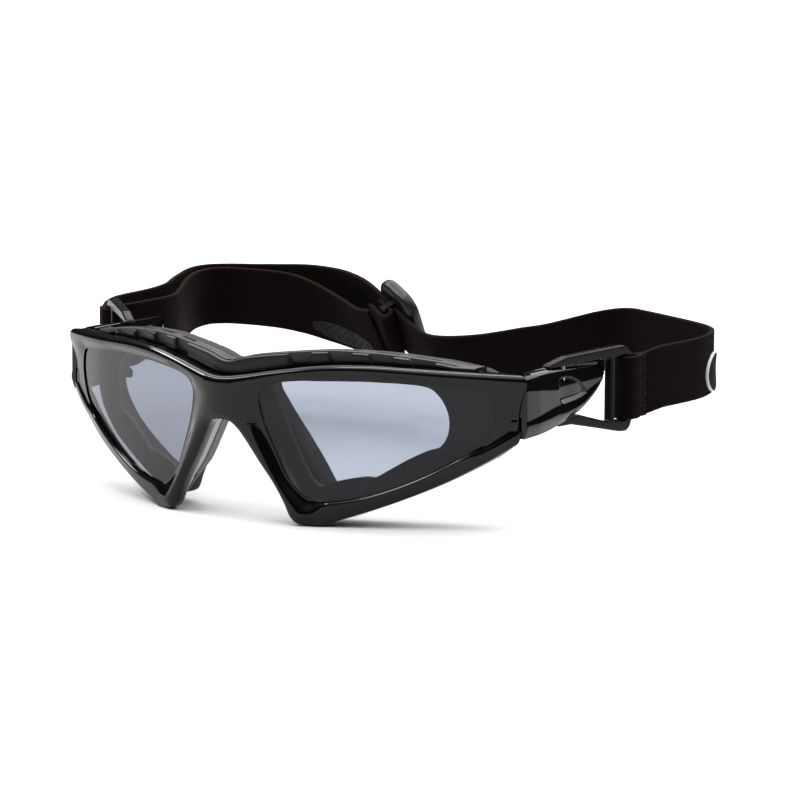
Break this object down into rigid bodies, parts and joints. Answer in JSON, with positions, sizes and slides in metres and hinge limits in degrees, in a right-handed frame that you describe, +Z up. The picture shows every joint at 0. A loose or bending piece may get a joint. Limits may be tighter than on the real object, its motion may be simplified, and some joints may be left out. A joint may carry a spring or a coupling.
{
  "type": "motorcycle goggles",
  "caption": "Wrapped gloss-black goggle frame with smoke lenses, vented foam gasket, short hinged arms, swivelling strap loops and an adjustable elastic strap.",
  "frame": {"origin": "top of the nose arch, on the front surface of the frame", "axes": "+X to the wearer's left and along the longest side, -Y forwards out of the lenses, +Z up"},
  "size_m": [0.1899, 0.1601, 0.0445],
  "materials": {
    "gloss_black_plastic": "polished injection-moulded black with soft purple-grey reflections",
    "smoke_lens": "smoke-tinted polycarbonate, glossy",
    "satin_black_plastic": "satin moulded black",
    "gasket_plastic": "soft matte moulded dark grey",
    "foam": "closed-cell foam, fine cells",
    "nose_rubber": "light grey satin rubber",
    "webbing": "ribbed elastic webbing, very dark brown-black",
    "steel": "plain steel",
    "badge_rubber": "soft moulded rubber, unmarked",
    "grip_rubber": "printed silicone cross-hatch"
  },
  "bodies": {
    "front": {"front_frame": "gloss_black_plastic", "lens_left": "smoke_lens", "lens_right": "smoke_lens", "gasket_carrier": "gasket_plastic", "face_foam": "foam", "foam_end_left": "foam", "foam_end_right": "foam", "nose_pad_left": "nose_rubber", "nose_pad_right": "nose_rubber", "hinge_screw_left": "steel", "hinge_screw_right": "steel", "strap_corner_left": "webbing", "strap_badge": "badge_rubber", "strap_rear": "webbing", "strap_corner_right": "webbing", "strap_return_rear": "webbing", "strap_return_corner": "webbing", "grip_patch": "grip_rubber"},
    "arm_left": {"strap_arm_left": "gloss_black_plastic", "loop_pin_left": "steel", "strap_side_left": "webbing"},
    "arm_right": {"strap_arm_right": "gloss_black_plastic", "loop_pin_right": "steel", "strap_side_right": "webbing", "strap_return_side": "webbing"},
    "loop_left": {"strap_loop_left": "satin_black_plastic", "strap_fold_left": "webbing"},
    "loop_right": {"strap_loop_right": "satin_black_plastic", "strap_fold_right": "webbing"},
    "slider": {"strap_slider": "satin_black_plastic", "strap_wrap": "webbing"}
  },
  "joints": [
    {"name": "arm_left_fold", "type": "hinge", "parent": "front", "child": "arm_left", "pos_m": [0.0682, 0.0354, 0.005], "axis": [0, 0, 1], "range_deg": [0, 60], "deforming": ["strap_corner_left", "strap_side_left", "strap_badge", "foam_end_left"]},
    {"name": "arm_right_fold", "type": "hinge", "parent": "front", "child": "arm_right", "pos_m": [-0.0682, 0.0354, 0.005], "axis": [0, 0, -1], "range_deg": [0, 60], "deforming": ["strap_corner_right", "strap_return_corner", "strap_side_right", "strap_return_side", "foam_end_right"]},
    {"name": "loop_left_swivel", "type": "hinge", "parent": "arm_left", "child": "loop_left", "pos_m": [0.0693, 0.0545, 0.005], "axis": [0, 0, -1], "range_deg": [-20, 50], "deforming": ["strap_side_left"]},
    {"name": "loop_right_swivel", "type": "hinge", "parent": "arm_right", "child": "loop_right", "pos_m": [-0.0693, 0.0545, 0.005], "axis": [0, 0, 1], "range_deg": [-55, 12], "deforming": ["strap_side_right", "strap_return_side"]},
    {"name": "slider_slide", "type": "slide", "parent": "front", "child": "slider", "axis": [-0.8617, 0.3209, 0.393], "range_m": [-0.008, 0.008], "deforming": ["strap_rear", "strap_return_rear", "grip_patch"]}
  ]
}
